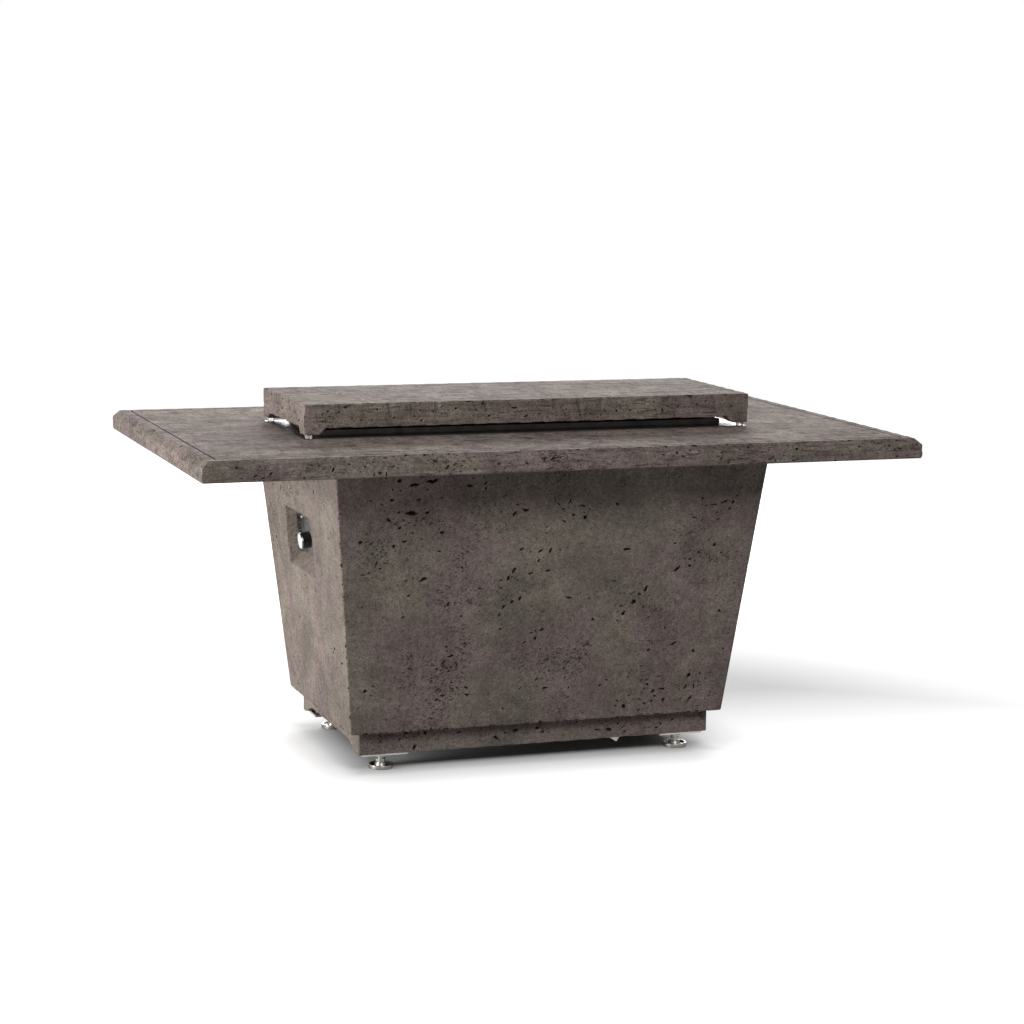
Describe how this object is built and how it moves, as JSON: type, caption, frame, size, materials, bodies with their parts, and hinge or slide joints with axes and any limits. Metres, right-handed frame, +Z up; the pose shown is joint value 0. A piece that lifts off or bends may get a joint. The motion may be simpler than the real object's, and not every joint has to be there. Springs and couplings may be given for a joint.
{
  "type": "fire pit table",
  "caption": "Gas fire pit table with a flared stone pedestal, chamfered stone top, lift-off stone cover over a drop-in burner pan, and an end control knob.",
  "frame": {"origin": "on the floor at the middle of the table", "axes": "+Z up; X along the table, with the control recess on the -X end; +Y towards the back"},
  "size_m": [1.384, 0.813, 0.6875],
  "materials": {
    "cast_stone": "cast concrete, fine pits, matt sealer",
    "lava_rock": "porous, matt",
    "stainless": "brushed",
    "polished_steel": "polished",
    "plated_steel": "zinc plated",
    "brass": "machined",
    "cast_aluminium": "as cast",
    "black_knob": "satin gloss",
    "chrome_trim": "bright",
    "hose_rubber": "smooth",
    "clear_bumper": "soft, translucent white",
    "tag_metal": "satin, bare"
  },
  "bodies": {
    "frame": {"table_top": "cast_stone", "pedestal_shell": "cast_stone", "top_brackets": "plated_steel", "bracket_bolts": "plated_steel", "leveller_plates": "stainless", "leveller_plate_screws": "plated_steel", "threaded_inserts": "brass", "jam_nuts": "plated_steel", "burner_pan": "stainless", "media_guard": "polished_steel", "burner_tube": "stainless", "burner_saddles": "stainless", "saddle_screws": "plated_steel", "lava_rock_bed": "lava_rock", "air_mixer": "cast_aluminium", "orifice_fitting": "brass", "mixer_elbow": "brass", "control_plate": "stainless", "control_plate_screws": "stainless", "valve_body": "brass", "panel_nut": "brass", "stem_spring": "stainless", "burner_hose": "hose_rubber", "supply_hose": "hose_rubber", "hose_nuts": "brass", "inlet_bracket": "stainless", "inlet_bracket_screws": "plated_steel", "gas_inlet": "brass", "inlet_nut": "brass", "tag_pin": "plated_steel"},
    "cover": {"cover_slab": "cast_stone", "cover_bumpers": "clear_bumper"},
    "control_push": {"stem_washer": "plated_steel"},
    "control_knob": {"valve_stem": "brass", "knob_body": "black_knob", "knob_cap": "chrome_trim", "knob_set_screw": "plated_steel"},
    "tag": {"rating_plate": "tag_metal", "tag_chain": "polished_steel"},
    "leveller_pad_1": {"leveller_pad_1": "stainless"},
    "leveller_stud_1": {"leveller_stud_1": "stainless"},
    "leveller_pad_2": {"leveller_pad_2": "stainless"},
    "leveller_stud_2": {"leveller_stud_2": "stainless"},
    "leveller_pad_3": {"leveller_pad_3": "stainless"},
    "leveller_stud_3": {"leveller_stud_3": "stainless"},
    "leveller_pad_4": {"leveller_pad_4": "stainless"},
    "leveller_stud_4": {"leveller_stud_4": "stainless"}
  },
  "joints": [
    {"name": "cover_lift", "type": "slide", "parent": "frame", "child": "cover", "axis": [0, 0, 1], "range_m": [0, 0.15]},
    {"name": "control_push", "type": "slide", "parent": "frame", "child": "control_push", "axis": [0.9948, 0, 0.1019], "range_m": [0, 0.003], "stiffness_N_per_m": 800, "springref_m": -0.005, "deforming": ["stem_spring"]},
    {"name": "control_turn", "type": "hinge", "parent": "control_push", "child": "control_knob", "pos_m": [-0.40706, 0.02, 0.406], "axis": [-0.9948, 0, -0.1019], "range_deg": [0, 210]},
    {"name": "leveller_1_height", "type": "slide", "parent": "frame", "child": "leveller_pad_1", "axis": [0, 0, -1], "range_m": [0, 0.02]},
    {"name": "leveller_1_turn", "type": "hinge", "parent": "leveller_pad_1", "child": "leveller_stud_1", "pos_m": [-0.2995, -0.1675, 0], "axis": [0, 0, -1], "range_deg": [0, 4150]},
    {"name": "leveller_2_height", "type": "slide", "parent": "frame", "child": "leveller_pad_2", "axis": [0, 0, -1], "range_m": [0, 0.02]},
    {"name": "leveller_2_turn", "type": "hinge", "parent": "leveller_pad_2", "child": "leveller_stud_2", "pos_m": [0.2995, -0.1675, 0], "axis": [0, 0, -1], "range_deg": [0, 4150]},
    {"name": "leveller_3_height", "type": "slide", "parent": "frame", "child": "leveller_pad_3", "axis": [0, 0, -1], "range_m": [0, 0.02]},
    {"name": "leveller_3_turn", "type": "hinge", "parent": "leveller_pad_3", "child": "leveller_stud_3", "pos_m": [-0.2995, 0.1675, 0], "axis": [0, 0, -1], "range_deg": [0, 4150]},
    {"name": "leveller_4_height", "type": "slide", "parent": "frame", "child": "leveller_pad_4", "axis": [0, 0, -1], "range_m": [0, 0.02]},
    {"name": "leveller_4_turn", "type": "hinge", "parent": "leveller_pad_4", "child": "leveller_stud_4", "pos_m": [0.2995, 0.1675, 0], "axis": [0, 0, -1], "range_deg": [0, 4150]},
    {"name": "tag_swing", "type": "hinge", "parent": "frame", "child": "tag", "pos_m": [0.176, -0.1675, 0.09102], "axis": [0, 1, 0], "range_deg": [-15, 15]}
  ],
  "couplings": [
    {"joint": "leveller_1_turn", "follows": "leveller_1_height", "rad_per_m": 3590.4},
    {"joint": "leveller_2_turn", "follows": "leveller_2_height", "rad_per_m": 3590.4},
    {"joint": "leveller_3_turn", "follows": "leveller_3_height", "rad_per_m": 3590.4},
    {"joint": "leveller_4_turn", "follows": "leveller_4_height", "rad_per_m": 3590.4}
  ]
}
